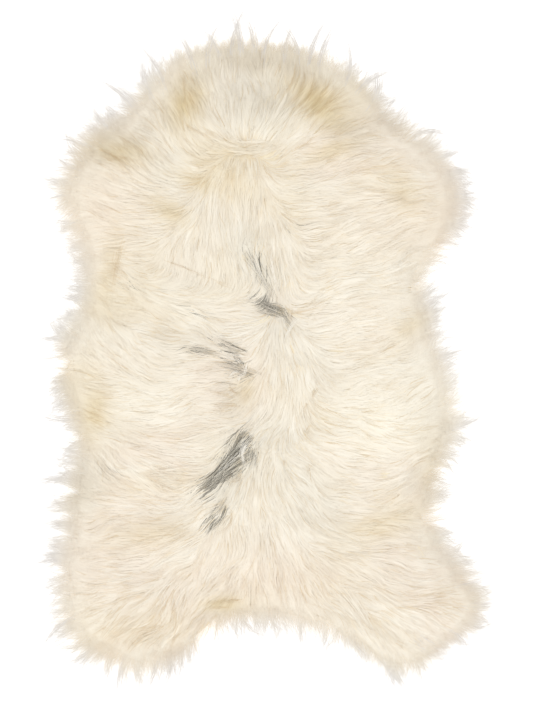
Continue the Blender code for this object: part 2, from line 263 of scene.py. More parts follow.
# Tufts with a way of their own: from their root, in pixels and degrees, bent by so much
# over their length, so wide at the root, and of so many strands of a dye. Those that give
# their root, turn, length and bend alone are pale wisps of the rim, which stand out past it.
Tuft = namedtuple("Tuft", "x y turn length bend width strands dye", defaults=(2.2, 16, "pale"))
TUFTS = {
    "neck": (
        (196, 76, 100, 64, 35, 2.6, 20), (208, 68, 94, 57, -46, 2.6, 20),
        (222, 64, 100, 55, 51, 2.6, 18), (231, 60, 92, 65, -42, 2.6, 20),
        (240, 60, 86, 70, 35, 2.6, 21), (253, 58, 78, 57, 61, 2.6, 18),
        (263, 62, 90, 55, -51, 2.6, 17), (284, 64, 92, 52, -35, 2.6, 17),
        (298, 68, 84, 52, 56, 2.6, 17), (308, 68, 82, 64, -35, 2.6, 20),
        (319, 70, 88, 57, -46, 2.6, 17), (345, 86, 66, 55, 51, 2.6, 18),
        (357, 94, 58, 55, -61, 2.6, 18), (372, 106, 56, 52, 72, 2.6, 18),
        (166, 88, 108, 61, 35, 2.6, 20), (152, 100, 118, 61, -35, 2.6, 20),
        (137, 110, 124, 57, 42, 2.6, 18)),
    "left shoulder": (
        (112, 130, 140, 42, -29, 2, 14), (96, 150, 150, 44, 32, 2, 14),
        (84, 172, 164, 42, -29, 2, 13), (78, 196, 178, 42, 32, 2, 14),
        (82, 222, 192, 37, -32, 2, 12)),
    "right shoulder": (
        (412, 138, 42, 46, -93), (436, 160, 14, 38, 26), (446, 196, 12, 40, -32),
        (446, 226, 14, 35, 29)),
    "right side": (
        (426, 306, 48, 32, -42), (440, 356, 6, 32, 29), (448, 430, 12, 49, 29),
        (436, 458, 18, 30, -29)),
    "left side": (
        (84, 300, 176, 32, -26), (66, 340, 168, 35, 32), (70, 420, 184, 35, -32),
        (64, 480, 174, 38, 35), (60, 560, 176, 35, 32)),
    "left hind leg": (
        (70, 620, 208, 38, 35), (94, 646, 228, 38, -29), (126, 656, 246, 46, 26),
        (158, 656, 262, 43, -26), (192, 636, 256, 38, 29)),
    "right hind leg": (
        (350, 636, -58, 40, 22), (338, 590, -48, 66, -6, 10, 70, "none"),
        (356, 622, -54, 60, -4, 7, 60, "none"), (366, 628, -54, 74, -6, 6, 70, "none"),
        (378, 628, -58, 58, -6, 6, 50, "none"), (378, 648, -58, 52, -6, 4, 40),
        (412, 636, -50, 30, 20, 4, 30), (420, 634, -38, 40, -22), (444, 626, -22, 38, -42),
        (462, 604, -8, 43, 22), (456, 586, 4, 38, 19)),
    # The dark yellow strands in the parting are painted shade.
    "parting": (
        (212, 138, -38, 34, 40, 5, 36, "none"), (232, 152, -8, 30, 25, 4, 30, "none"),
        (250, 153, 4, 34, 18, 5, 40, "none"), (228, 142, -20, 28, 24, 4, 30, "none"),
        (246, 147, 14, 30, -24, 4, 30, "none"), (190, 129, -38, 32, 26, 1.2, 8, "crease_shade"),
        (209, 134, -46, 22, 26, 1.2, 9, "crease_shade"), (225, 131, -72, 20, 40, 1.2, 8, "none"),
        (216, 143, -16, 34, -8, 1.2, 8, "none"), (250, 147, 14, 24, -44, 1.2, 7, "crease_shade"),
        (262, 150, 24, 28, 20, 1.2, 7, "none"), (298, 150, 28, 24, 16, 1.2, 7, "crease_shade"),
        (321, 162, 14, 26, 20, 1.2, 8, "crease_shade")),
    # Dark yellow strands in the corner beside the mane, as painted shade.
    "right of the mane": (
        (285, 109, 32, 54, 74, 1.5, 9, "crease_shade"), (293, 113, 30, 56, 70, 1.5, 10, "crease_shade"),
        (303, 115, 28, 50, 72, 1.5, 9, "crease_shade"), (312, 117, 24, 42, 60, 1.5, 8, "crease_shade"),
        (284, 97, 46, 44, 62, 1.2, 7, "crease_shade")),
    "left of the mane": ((186, 108, 96, 44, -8, 1.5, 9, "crease_shade"),),
    "left shoulder, creases": (
        (102, 150, -26, 30, -14, 1.5, 8, "crease_shade"), (114, 160, 6, 26, -30, 1.5, 8, "crease_shade")),
    "left waist, creases": (
        (124, 246, 250, 50, 14, 2, 12, "crease_shade"), (118, 252, 256, 40, 8, 1.5, 7, "crease_shade")),
    "tail": (
        (234, 600, 186, 24, -10, 1.5, 8, "brown_shadow"), (226, 606, 176, 18, 12, 1.2, 6, "crease_shade")),
    "fine line by the whorl": (
        (178, 266, -20, 40, -8, 0.4, 3, "brown_shadow"), (213, 280, -28, 34, 34, 0.6, 4, "crease_shade")),
    "whorl": (
        (251, 256, 300, 32, -8, 6, 6, "grey"), (261, 256, 290, 38, 6, 6, 6, "grey"),
        (248, 264, 314, 32, -18, 2.5, 6, "grey"), (262, 276, 294, 34, 12, 4, 16, "grey"),
        (272, 262, 276, 42, 14, 3, 16, "white"), (256, 264, 292, 38, 8, 2, 8, "white"),
        (278, 311, 160, 26, -14, 4, 36, "black"), (275, 314, 172, 24, -12, 3, 14, "grey"),
        (280, 309, 110, 10, 110, 1.5, 9, "brown_shadow"), (283, 311, 302, 19, -10, 2.5, 12, "grey"),
        (290, 312, 266, 16, -10, 2, 8, "brown_shadow"), (292, 313, 8, 20, 12, 2, 7, "crease_shade"),
        (288, 334, 74, 22, -44, 1.5, 10, "white")),
    "left flank, over a thin place": (
        (182, 473, 176, 44, 12, 7, 40, "none"), (180, 483, 170, 42, -14, 6, 34, "none")),
    "left wisp": (
        (212, 354, 172, 34, 8, 3, 14, "grey"), (208, 350, 164, 26, 12, 1.5, 7, "grey")),
    "upper wisp": (
        (240, 348, 156, 28, 8, 1.2, 8, "black"), (238, 352, 161, 28, 6, 2, 9, "grey")),
    "middle wisp": (
        (241, 362, 130, 16, 18, 2, 12, "black"), (238, 367, 152, 22, 10, 2.5, 12, "grey"),
        (246, 372, 162, 38, 10, 5, 22, "grey"), (244, 358, 168, 30, 6, 4, 12, "white")),
    "lower wisp": (
        (231, 376, 66, 15, -120, 1.2, 8, "white"), (239, 379, 74, 14, -110, 1.2, 8, "white"),
        (247, 366, 252, 22, -18, 2, 9, "white"), (234, 384, 172, 28, 6, 0.8, 5, "grey")),
    # Painted shadow under the wisps, in brown strands.
    "brown lines under the wisps": (
        (231, 388, 296, 13, 90, 1.2, 8, "brown_shadow"), (224, 394, 166, 26, 8, 1.0, 6, "brown_shadow"),
        (232, 405, 176, 22, 12, 1.2, 9, "brown_shadow"), (224, 409, 186, 16, -8, 1.2, 7, "brown_shadow")),
    "long patch": (
        (247, 439, 222, 20, 10, 7, 44, "black"), (240, 446, 232, 28, -8, 7, 54, "black"),
        (238, 460, 214, 44, 6, 6, 60, "black"), (232, 468, 222, 36, -6, 4, 34, "black"),
        (224, 473, 206, 26, 8, 5, 44, "black"), (240, 474, 236, 18, -70, 3, 14, "brown_shadow"),
        (236, 456, 220, 34, 10, 4, 8, "white")),
    "ring beside it": (
        (247, 442, 226, 30, 104, 3, 18, "white"), (253, 450, 246, 17, 50, 4, 16, "grey")),
    "last tuft": (
        (222, 503, 238, 27, -22, 2.5, 16, "grey"), (224, 511, 246, 25, -34, 2.5, 24, "black"),
        (232, 514, 272, 26, -84, 1.5, 8, "brown_shadow")),
    # Painted shadow of small curls by the spine, in brown strands.
    "curls by the spine": (
        (315, 390, 226, 12, 80, 1.5, 10, "brown_shadow"), (306, 404, 226, 10, 80, 1.2, 8, "brown_shadow"),
        (308, 427, 240, 10, 60, 1.2, 7, "brown_shadow"), (284, 461, 250, 8, 70, 1.2, 6, "brown_shadow"),
        (309, 466, 230, 9, 80, 1.2, 6, "brown_shadow")),
}

# --- the coat ---

# Families of strands, in locks. Spread is how far the roots of a lock's strands lie from its
# middle, gather how far their tips come together, stop the share of the rim's reach at
# which they end, sway how far in degrees a lock turns aside, stray how far a single strand
# does, curl the height of a lock's waves, least the shortest strand's share of its lock's
# length, and lift their height over the solid.
Coat = namedtuple("Coat", "strands spread lengths widths gather stop sway stray curl least lift")
DEEP_COAT = Coat(
    strands=3, spread=0.008, lengths=(0.050, 0.080), widths=(0.0042, 0.0066), gather=(0.0, 0.1),
    stop=(0.30, 0.60), sway=3, stray=2, curl=(0.0, 0.0004), least=0.85, lift=-0.0008)
BODY_COAT = Coat(
    strands=12, spread=0.010, lengths=(0.055, 0.095), widths=(0.0009, 0.0021), gather=(0.1, 0.4),
    stop=(0.40, 0.72), sway=3, stray=2, curl=(0.0002, 0.0009), least=0.72, lift=0.0)
RIM_COAT = Coat(
    strands=14, spread=0.007, lengths=(0.080, 0.125), widths=(0.0006, 0.0013), gather=(0.10, 0.50),
    stop=(0.64, 1.20), sway=13, stray=4, curl=(0.0004, 0.0020), least=0.60, lift=-0.0003)
LOCK_COAT = Coat(
    strands=9, spread=0.0030, lengths=(0.115, 0.165), widths=(0.0005, 0.0009), gather=(0.30, 0.75),
    stop=(0.95, 1.62), sway=26, stray=4, curl=(0.0015, 0.0050), least=0.50, lift=-0.0004)
WISP_COAT = Coat(
    strands=4, spread=0.003, lengths=(0.090, 0.150), widths=(0.0004, 0.0008), gather=(0.0, 0.5),
    stop=(0.82, 1.50), sway=20, stray=9, curl=(0.0005, 0.0040), least=0.55, lift=-0.0006)
DEEP_PITCH = 0.0135
BODY_PITCH = 0.0150
RIM_PITCH = 0.0110
WISP_PITCH = 0.0034
BODY_INSET = 0.010  # how far in from the hide's edge the body's coat ends
LOCK_WISPS = 7  # that each outer lock is parted into
LOCK_INSET = 0.008  # how far in from the hide's edge they have their roots
LOCK_INSETS, LOCK_ASIDE = (0.2, 1.8), 1.2  # how far in and aside each stands, in shares of it
RIM_ROWS = (0.002, 0.012, 0.024)  # and so far in stand the rows of the others
RIM_ROW_WIDTH = 0.003  # to each side
BEND, MOST_BEND = 1.5, 3  # of a lock towards its tip, in shares of its coat's sway
LONGEST = 1.08  # share of a lock's or a tuft's length that a strand can have
FARTHEST = 1.06  # and of its stop
LOCK_WAVE_PITCH = (0.032, 0.055)
LOCK_WAVE_SLIP = 0.04  # between the strands of a lock, in turns
STRAND_WAVE = 0.0003
STRAND_WAVE_PITCH = (0.018, 0.030)
WAVY = (0.0, 0.4)  # shares of a strand's length between which its waves set in
GATHERED = (0.05, 1.0)  # and between which it is drawn to the middle of its lock
LAYER_HEIGHT = 0.0002
LOCK_UNEVENNESS = 0.0001
STRAND_UNEVENNESS = 0.00008
LOCK_BULGE = 0.0003
TRESS_TONE_SHARE, LOCK_TONE, STRAND_TONE = 0.7, 0.7, 0.3  # of which a strand's tone is made

# Single hairs that lie over the locks: loose ones, and dark yellow ones in the creases that paint
# their shade.
Hairs = namedtuple("Hairs", "count lengths widths sway lift dye")
LOOSE_HAIRS = Hairs(
    count=1100, lengths=(0.035, 0.075), widths=(0.0005, 0.0009), sway=16, lift=(0.001, 0.006),
    dye="none")
CREVICE_HAIRS = Hairs(
    count=1800, lengths=(0.025, 0.055), widths=(0.0005, 0.0011), sway=5, lift=(0.0005, 0.0014),
    dye="crease_shade")
LOOSE_PITCH = 0.009
CREVICE_PITCH = 0.003
CREVICE_REACH = 0.012  # how far past the hide's edge the hairs in creases still start
UNCREASED = 0.12  # share of them that stands where no crease is named
HAIR_WAVE, HAIR_WAVE_PITCH = (0, 0.002), (0.03, 0.05)
HAIR_STOP = (0.5, 1.0)
ARCH_START, ARCH_RUN = 0.25, 0.6  # of half a wave, as which a hair rises over the locks

TUFT_FULLNESS = 1.2  # strands of a tuft for each that its row gives
TUFT_START = (0.0, 0.4)  # how far behind the root its strands start, in shares of their length
TUFT_SPREAD = 0.7  # of the roots, in shares of the tuft's width
TUFT_LIFT = (-0.0006, 0.0016)
TUFT_WAVE, TUFT_WAVE_PITCH = (0.0003, 0.0011), (0.016, 0.030)
TUFT_TONE = (0.3, 0.8)  # its mean and spread
TUFT_GATHERED = (0.1, 1.0)
LONGEST_BEND = 1.2  # share of the tuft's length past which it runs on straight

SEGMENTS = 7
STRAND_STEPS = 24  # steps in which a strand's way is worked out
LEAST_STEPS = 4  # of them that are kept where it is cut short
STEADINESS = 0.55  # share of its direction that a strand keeps in each of them
ROOT_DEPTH = 0.0020
ROOT_UPSTREAM = 0.020
TIP_TUCK = 0.0006
THICK_WOOL = 0.030  # where it is less high, strands lie less deep
LEAST_DEPTH = 0.12  # share of the depth that is left at the tips of the fringe
FRINGE_SINK = 0.8  # how much lower than the solid's locks the tips of the fringe lie
FLOOR_CLEARANCE = 0.0004
FRINGE_ROOM = (0.024, 0.034)  # that the fringe has past the solid's box, in x and y
TRESS_PITCH = 0.034  # tresses are groups of locks that lie over one another
TRESS_SWAY, MOST_TRESS_SWAY = 6, 12  # degrees
TRESS_HEIGHT = 0.0003
NORMAL_SHARE = 0.14  # of a ribbon's own normal, the rest being the surface's
NORMAL_SPLAY = 0.18
ROLL, MOST_ROLL = 0.08, 0.8  # of a ribbon about its length, in radians
TAPER, TAPER_OF_WIDTH = 1.1, 900  # the wider a strand, the later it narrows to its tip
ROOT_WIDTH, WIDEST_FROM = 0.6, 0.3  # its width at the root, and where it comes to its full one

SEED = 11
chance = np.random.default_rng(SEED)

# --- the grid on which the fields are held ---

GRID_STEP = 0.004
GRID_MARGIN = 0.06
HIDE_THICKNESS = 0.0025  # of the solid's hide, whose upper edge lies at this height
TIP_HEIGHT = 0.0012  # of the tips of the solid's locks
SAME_HEIGHT = 1e-5
RIM_SHARE = 0.36  # of the reach, at which the solid's dense wool ends
RIM_HEIGHT = 0.015
LEAST_RIM_HEIGHT = 0.8  # share of it that the dense wool has everywhere
RIM_FALL = 1.3  # the more, the sooner the rim's slope comes down
RAY_START = 0.01  # over the solid's box
EDGE_PARTS = 4  # that each side of the hide's edge is cut into
EDGE_STEP = 6  # points to each side over which the edge's direction is taken
REACH_WINDOWS = 30  # stretches of the edge over each of which the reach is evened out
REACH_BLUR, SLOPE_BLUR = 0.008, 0.006
JITTER, RIM_JITTER = 0.4, 0.3  # of scattered places, in shares of their pitch

BOX_LOW = np.array(CAD_BOX[0][:2]) - FRINGE_ROOM
BOX_HIGH = np.array(CAD_BOX[1][:2]) + FRINGE_ROOM
GRID_LOW = np.array(CAD_BOX[0][:2]) - GRID_MARGIN
GRID_HIGH = np.array(CAD_BOX[1][:2]) + GRID_MARGIN
GRID_SHAPE = np.ceil((GRID_HIGH - GRID_LOW) / GRID_STEP).astype(int) + 1  # along x, along y
GRID = np.stack(np.meshgrid(
    GRID_LOW[0] + GRID_STEP * np.arange(GRID_SHAPE[0]),
    GRID_LOW[1] + GRID_STEP * np.arange(GRID_SHAPE[1]),
    indexing="ij",
), axis=-1)


def read(field, points):
    """The field's values at the points, read between those of the grid."""
    place = np.clip((points - GRID_LOW) / GRID_STEP, 0, GRID_SHAPE - 1.001)
    cell = place.astype(int)
    share = place - cell
    x, y = cell[..., 0], cell[..., 1]
    if field.ndim == 3:
        share = share[..., None]
        across, up = share[..., 0, :], share[..., 1, :]
    else:
        across, up = share[..., 0], share[..., 1]
    low = field[x, y] * (1 - across) + field[x + 1, y] * across
    high = field[x, y + 1] * (1 - across) + field[x + 1, y + 1] * across
    return low * (1 - up) + high * up


def blurred(field, size):
    """The field with its detail below that size, in metres, taken out."""
    steps = np.stack(np.meshgrid(*(np.fft.fftfreq(n) for n in field.shape), indexing="ij"))
    keep = np.exp(-2 * (math.pi * np.hypot(*steps) * size / GRID_STEP) ** 2)
    return np.fft.ifft2(np.fft.fft2(field) * keep).real


def evened(values):
    """The values with a mean of nought and a spread of one."""
    return (values - values.mean()) / values.std()


def cloud(size):
    """Smooth noise over the grid with a spread of one and features of about that size."""
    return evened(blurred(chance.standard_normal(tuple(GRID_SHAPE)), size))


def smoothstep(low, high, value):
    share = np.clip((value - low) / (high - low), 0, 1)
    return share * share * (3 - 2 * share)


def unit(vectors):
    return vectors / np.maximum(np.linalg.norm(vectors, axis=-1, keepdims=True), 1e-9)


def place_of(pixel_x, pixel_y):
    """The place on the floor under a pixel of the photograph."""
    return np.stack([
        (np.asarray(pixel_x) - PHOTO_MIDDLE[0]) * PIXEL,
        (PHOTO_MIDDLE[1] - np.asarray(pixel_y)) * PIXEL,
    ], axis=-1)


def heading(degrees):
    angle = np.radians(degrees)
    return np.stack([np.cos(angle), np.sin(angle)], axis=-1)


def patch_strength(patches, points):
    """How strongly the patches mark each point."""
    total = np.zeros(points.shape[:-1])
    for patch in patches:
        offset = points - place_of(patch.x, patch.y)
        along = offset @ heading(patch.turn) / (patch.along * PIXEL)
        across = offset @ heading(patch.turn + 90) / (patch.across * PIXEL)
        total = np.maximum(total, patch.strength * np.exp(-(along**2 + across**2) / PATCH_SOFTNESS))
    return total


# --- what the solid gives ---

def ring_at(mesh, height):
    """The closed ring of the mesh's edges that lie at that height, in order."""
    after = {}
    for edge in mesh.edges:
        ends = [mesh.vertices[i].co for i in edge.vertices]
        if all(abs(end.z - height) < SAME_HEIGHT for end in ends):
            keys = [(round(end.x, 6), round(end.y, 6)) for end in ends]
            after.setdefault(keys[0], set()).add(keys[1])
            after.setdefault(keys[1], set()).add(keys[0])
    start = max(after, key=lambda key: key[1])
    ring, previous = [start], None
    while True:
        here = ring[-1]
        onward = [key for key in after[here] if key != previous and key != here]
        previous = here
        if onward[0] == start or len(ring) > len(after):
            break
        ring.append(onward[0])
    ring = np.array(ring)
    return ring if signed_area(ring) > 0 else ring[::-1]


def signed_area(ring):
    after = np.roll(ring, -1, axis=0)
    return float((ring[:, 0] * after[:, 1] - ring[:, 1] * after[:, 0]).sum() / 2)


def inside(points, ring):
    """Whether each point lies inside the closed ring."""
    start, end = ring, np.roll(ring, -1, axis=0)
    x, y = points[..., None, 0], points[..., None, 1]
    crosses = (start[:, 1] > y) != (end[:, 1] > y)
    rise = np.where(end[:, 1] == start[:, 1], 1, end[:, 1] - start[:, 1])
    at = start[:, 0] + (end[:, 0] - start[:, 0]) * (y - start[:, 1]) / rise
    return ((x < at) & crosses).sum(axis=-1) % 2 == 1


def dense(ring, parts):
    """The closed ring with each side cut into that many parts."""
    after = np.roll(ring, -1, axis=0)
    share = np.arange(parts)[None, :, None] / parts
    return (ring[:, None] * (1 - share) + after[:, None] * share).reshape(-1, ring.shape[1])


def nearest(points, others):
    """The distance from each point to the nearest of the others, and which that is."""
    flat = points.reshape(-1, 2)
    distance, which = np.empty(len(flat)), np.empty(len(flat), int)
    batch = 4096
    for first in range(0, len(flat), batch):
        part = slice(first, first + batch)
        squares = ((flat[part, None] - others[None]) ** 2).sum(-1)
        which[part] = squares.argmin(axis=1)
        distance[part] = np.sqrt(squares.min(axis=1))
    return distance.reshape(points.shape[:-1]), which.reshape(points.shape[:-1])


def reach_along(ring, tips):
    """How far the solid's locks reach past each point of the ring, evened out."""
    distance, which = nearest(tips, ring)
    order = np.argsort(which)
    reach = np.interp(np.arange(len(ring)), which[order], distance[order], period=len(ring))
    window = np.hanning(len(ring) // REACH_WINDOWS + 3)
    wrapped = np.concatenate([reach[-len(window):], reach, reach[:len(window)]])
    return np.convolve(wrapped, window / window.sum(), "same")[len(window):-len(window)]


def solid_heights(node, past_edge, reach):
    """The upper surface of the solid over the grid, with an even slope in place of its locks."""
    tree = BVHTree.FromPolygons(
        [vertex.co.copy() for vertex in node.data.vertices],
        [tuple(face.vertices) for face in node.data.polygons],
    )
    above = CAD_BOX[1][2] + RAY_START
    dense_wool = past_edge < RIM_SHARE * reach
    heights = np.zeros(past_edge.shape)
    for place in zip(*np.nonzero(dense_wool)):
        hit = tree.ray_cast(Vector((*GRID[place], above)), Vector((0, 0, -1)))[0]
        heights[place] = hit.z if hit else 0
    share = np.clip((past_edge / reach - RIM_SHARE) / (1 - RIM_SHARE), 0, 1)
    slope = RIM_HEIGHT * (1 - share) ** RIM_FALL
    heights = np.where(dense_wool, np.maximum(heights, LEAST_RIM_HEIGHT * RIM_HEIGHT), slope)
    return np.maximum(blurred(heights, GRID_STEP), 0)


NODE_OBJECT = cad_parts[NODE]
HIDE_EDGE = ring_at(NODE_OBJECT.data, HIDE_THICKNESS)
LOCK_TIPS = np.array(sorted({
    (round(v.co.x, 6), round(v.co.y, 6))
    for v in NODE_OBJECT.data.vertices
    if abs(v.co.z - TIP_HEIGHT) < SAME_HEIGHT
}))
EDGE_POINTS = dense(HIDE_EDGE, EDGE_PARTS)
EDGE_REACH = reach_along(EDGE_POINTS, LOCK_TIPS)
EDGE_TANGENT = unit(
    np.roll(EDGE_POINTS, -EDGE_STEP, axis=0) - np.roll(EDGE_POINTS, EDGE_STEP, axis=0))
EDGE_OUTWARD = np.stack([EDGE_TANGENT[:, 1], -EDGE_TANGENT[:, 0]], axis=1)

EDGE_DISTANCE, EDGE_INDEX = nearest(GRID, EDGE_POINTS)
PAST_EDGE = np.where(inside(GRID, HIDE_EDGE), -1, 1) * EDGE_DISTANCE
REACH = blurred(EDGE_REACH[EDGE_INDEX], REACH_BLUR)
HEIGHT = solid_heights(NODE_OBJECT, PAST_EDGE, REACH)
WOOL_REACH = REACH * (1 + patch_strength(LONGER, GRID) - patch_strength(SHORTER, GRID))


# --- the way the wool lies ---

OUTWARD_PULL = 0.9  # that the way out at the rim has against the way the wool is combed
PULLED = (-0.010, 0.060)  # how far past the hide's edge it sets in and is at its full
FAR_COMB, FAR_REACH = 0.002, 4  # a direction also holds this faintly over so many reaches
WAVERING = ((6, 0.040), (9, 0.018), (8, 0.008))  # degrees, and over what size
LAYER_SIZE = 0.012
STREAK_SIZE, STREAK_LENGTH = 0.003, 0.060
SUNK = (-0.05, 0.65)  # shares of the reach between which the fringe sinks


def turned(vectors, degrees):
    angle = np.radians(degrees)
    along, aside = np.cos(angle), np.sin(angle)
    return np.stack([
        vectors[..., 0] * along - vectors[..., 1] * aside,
        vectors[..., 0] * aside + vectors[..., 1] * along,
    ], axis=-1)


def combed_directions():
    """The direction of the wool over the grid, from the table and the way out at the rim."""
    rows = np.array([row for rows in COMBED.values() for row in rows], float)
    places, headings = place_of(rows[:, 0], rows[:, 1]), heading(rows[:, 2])
    total = np.zeros(GRID.shape)
    for place, direction in zip(places, headings):
        squares = ((GRID - place) ** 2).sum(-1) / (COMB_REACH * PIXEL) ** 2
        total += (np.exp(-squares) + FAR_COMB * np.exp(-squares / FAR_REACH**2))[..., None] * direction
    pull = OUTWARD_PULL * smoothstep(*PULLED, PAST_EDGE)
    combed = unit(unit(total) + pull[..., None] * EDGE_OUTWARD[EDGE_INDEX])
    return turned(combed, sum(degrees * cloud(size) for degrees, size in WAVERING))


def streaks(size, length):
    """Noise drawn out along the way the wool is combed, with a spread of one."""
    noise = cloud(size)
    total = noise.copy()
    for sense in (1, -1):
        points = GRID
        for _ in range(round(length / GRID_STEP / 2)):
            points = points + sense * GRID_STEP * read(DIRECTION, points)
            total += read(noise, points)
    return evened(total)


DIRECTION = combed_directions()
LAYER = cloud(LAYER_SIZE)
STREAKS = streaks(STREAK_SIZE, STREAK_LENGTH)
LIE = HEIGHT * (1 - FRINGE_SINK * smoothstep(*SUNK, PAST_EDGE / REACH))
SLOPES = np.gradient(blurred(LIE, SLOPE_BLUR), GRID_STEP)
SURFACE_NORMAL = unit(np.stack([-SLOPES[0], -SLOPES[1], np.ones(LIE.shape)], axis=-1))
SHARES = np.arange(SEGMENTS + 1) / SEGMENTS


def ways(roots, lengths, turns, bends, stops):
    """The way of each strand over the grid, in equal steps, and the share of it that is kept.

    A strand turns aside from the combed direction by so many degrees, and bends further by
    so many towards its tip. It starts a little upstream of its root and is cut short where
    it would run past its share of the rim's reach.
    """
    step = lengths[:, None] / STRAND_STEPS
    direction = turned(unit(read(DIRECTION, roots)), turns)
    points = [roots - ROOT_UPSTREAM * direction]
    for number in range(STRAND_STEPS):
        aside = turns + bends * (number / STRAND_STEPS) ** 2
        combed = turned(read(DIRECTION, points[-1]), aside)
        direction = unit(STEADINESS * direction + (1 - STEADINESS) * combed)
        points.append(points[-1] + step * direction)
    points = np.stack(points, axis=1)
    past = read(PAST_EDGE, points) > stops[:, None] * read(WOOL_REACH, points)
    past |= ((points < BOX_LOW) | (points > BOX_HIGH)).any(axis=-1)
    last = np.where(past.any(axis=1), past.argmax(axis=1), STRAND_STEPS)
    return points, np.maximum(last, LEAST_STEPS) / STRAND_STEPS


def kept_way(points, ends):
    """The points of the strands along the share of each way that is kept."""
    place = np.clip(ends[:, None] * SHARES[None] * STRAND_STEPS, 0, STRAND_STEPS - 1e-6)
    cell = place.astype(int)
    rest = (place - cell)[..., None]
    rows = np.arange(len(points))[:, None]
    return points[rows, cell] * (1 - rest) + points[rows, cell + 1] * rest


def waved(points, lengths, wave, pitch, phase):
    """The points moved aside in waves of that height and length."""
    tangent = unit(np.gradient(points, axis=1))
    aside = np.stack([-tangent[..., 1], tangent[..., 0]], axis=-1)
    turns = lengths[:, None] * SHARES[None] / pitch[:, None] + phase[:, None]
    shift = wave[:, None] * np.sin(2 * math.pi * turns) * smoothstep(*WAVY, SHARES)[None]
    return points + shift[..., None] * aside


Strands = namedtuple("Strands", "points widths tone dye")


def lying(flat, lift):
    """The flat points given heights, from roots in the fleece to tips on its surface."""
    depth = ROOT_DEPTH * (1 - SHARES[None]) ** 3 + TIP_TUCK * SHARES[None] ** 3
    ground = read(LIE, flat)
    ease = np.clip(ground / THICK_WOOL, LEAST_DEPTH, 1)
    height = ground + (lift - depth) * ease
    return np.concatenate([flat, np.maximum(height, FLOOR_CLEARANCE)[..., None]], axis=-1)


def hexagonal(pitch):
    """Places over the whole grid, in even triangles of that side."""
    x, y = np.meshgrid(
        np.arange(GRID_LOW[0], GRID_HIGH[0], pitch),
        np.arange(GRID_LOW[1], GRID_HIGH[1], pitch * math.sqrt(3) / 2),
        indexing="ij",
    )
    x = x + pitch / 2 * (np.arange(x.shape[1])[None] % 2)
    return np.stack([x.ravel(), y.ravel()], axis=-1)


def scattered(pitch):
    """Places over the whole grid, about that far apart."""
    places = hexagonal(pitch)
    return places + chance.uniform(-JITTER, JITTER, places.shape) * pitch


def body_roots(pitch, inset):
    """Places on the hide, that far apart, and that far in from its edge or more."""
    places = scattered(pitch)
    return places[read(PAST_EDGE, places) < -inset]


def outer_lock_roots():
    """Places inside the hide's edge for the wisps of each lock of the solid's rim."""
    index = np.repeat(nearest(LOCK_TIPS, EDGE_POINTS)[1], LOCK_WISPS)
    inset = LOCK_INSET * chance.uniform(*LOCK_INSETS, (len(index), 1))
    aside = LOCK_INSET * chance.uniform(-LOCK_ASIDE, LOCK_ASIDE, (len(index), 1))
    return EDGE_POINTS[index] - inset * EDGE_OUTWARD[index] + aside * EDGE_TANGENT[index]


def rim_roots(pitch):
    """Places along the edge of the hide, in staggered rows just inside it."""
    spacing = np.linalg.norm(EDGE_POINTS - np.roll(EDGE_POINTS, 1, axis=0), axis=1).mean()
    rows = []
    for number, inset in enumerate(RIM_ROWS):
        index = np.arange(0, len(EDGE_POINTS), pitch / spacing) + number * pitch / spacing / 3
        shift = chance.uniform(-RIM_JITTER, RIM_JITTER, len(index))
        index = (index + shift * pitch / spacing).astype(int)
        index %= len(EDGE_POINTS)
        depth = inset + chance.uniform(-RIM_ROW_WIDTH, RIM_ROW_WIDTH, (len(index), 1))
        rows.append(EDGE_POINTS[index] - depth * EDGE_OUTWARD[index])
    return np.concatenate(rows)


TRESS_PLACES = scattered(TRESS_PITCH)
TRESS_TURN = np.clip(
    chance.normal(0, TRESS_SWAY, len(TRESS_PLACES)), -MOST_TRESS_SWAY, MOST_TRESS_SWAY)
TRESS_LAYER = chance.normal(0, TRESS_HEIGHT, len(TRESS_PLACES))
TRESS_TONE = chance.normal(0, 1, len(TRESS_PLACES))


def grown(coat, lock_roots):
    """The strands of the locks that stand at these roots."""
    locks, each = len(lock_roots), coat.strands
    count = locks * each
    tress = nearest(lock_roots, TRESS_PLACES)[1]
    turns = TRESS_TURN[tress] + chance.normal(0, coat.sway / 2, locks)
    most = MOST_BEND * coat.sway
    bends = np.clip(chance.normal(0, BEND * coat.sway, locks), -most, most)
    lengths = chance.uniform(*coat.lengths, locks)
    stops = chance.uniform(*coat.stop, locks)
    guides = kept_way(*ways(lock_roots, lengths, turns, bends, stops))

    radius = np.sqrt(chance.random(count))
    offsets = coat.spread * radius[:, None] * heading(chance.uniform(0, 360, count))
    roots = np.repeat(lock_roots, each, axis=0) + offsets
    lengths = np.repeat(lengths, each) * chance.uniform(coat.least, LONGEST, count)
    stops = np.repeat(stops, each) * chance.uniform(coat.least, FARTHEST, count)
    turns = np.repeat(turns, each) + chance.normal(0, coat.stray, count)
    points, ends = ways(roots, lengths, turns, np.repeat(bends, each), stops)
    flat = gathered(kept_way(points, ends), np.repeat(guides, each, axis=0), coat, locks)
    flat = curled(flat, lengths * ends, radius, coat, locks)

    unevenness = chance.normal(0, LOCK_UNEVENNESS, locks)
    layer = TRESS_LAYER[tress] + LAYER_HEIGHT * read(LAYER, lock_roots) + unevenness
    rise = np.repeat(layer, each) + LOCK_BULGE * (1 - radius**2)
    rise = rise + chance.normal(0, STRAND_UNEVENNESS, count)
    tone = TRESS_TONE_SHARE * TRESS_TONE[tress] + chance.normal(0, LOCK_TONE, locks)
    tone = np.repeat(tone, each) + chance.normal(0, STRAND_TONE, count)
    widths = chance.uniform(*coat.widths, count)
    return Strands(lying(flat, coat.lift + rise[:, None]), widths, tone, np.zeros(count, int))


def gathered(flat, guides, coat, locks):
    """The strands drawn towards the middle of their lock, and most at their tips."""
    gather = np.repeat(chance.uniform(*coat.gather, locks), coat.strands)[:, None]
    pulled = gather * smoothstep(*GATHERED, SHARES)[None]
    return flat + pulled[..., None] * (guides - flat)


